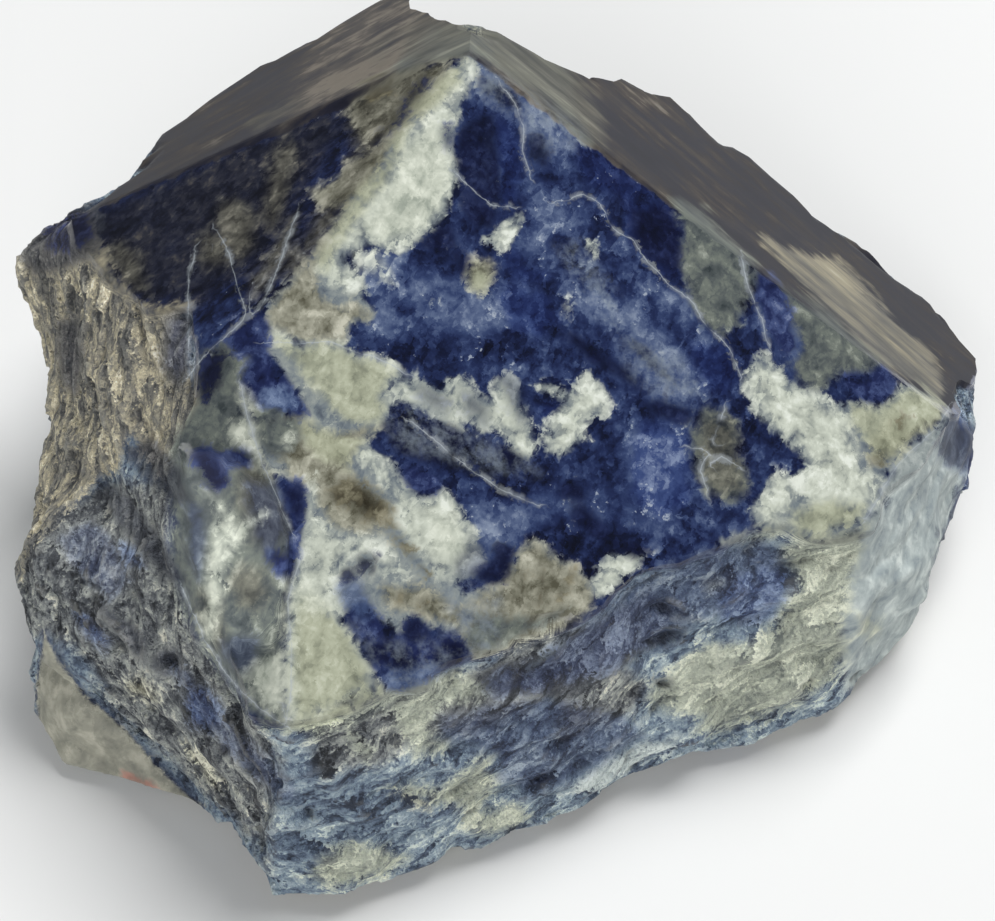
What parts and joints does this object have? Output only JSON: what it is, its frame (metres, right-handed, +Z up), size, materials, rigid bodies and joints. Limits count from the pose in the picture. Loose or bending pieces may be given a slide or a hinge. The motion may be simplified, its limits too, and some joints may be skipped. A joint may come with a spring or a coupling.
{
  "type": "rough sodalite",
  "caption": "Broken lump of blue and white sodalite whose crown is polished into flat faces that meet at a low peak. Rests on a small flat spot.",
  "frame": {"origin": "on the surface that the stone rests on, under its middle", "axes": "+Z up, -Y towards the front, where the broad polished face slopes down to the broken front wall"},
  "size_m": [0.1227, 0.115, 0.0699],
  "materials": {
    "sodalite": "polished on the crown's flat faces, rough and matt on the broken sides"
  },
  "bodies": {
    "root": {"sodalite": "sodalite"}
  },
  "joints": []
}
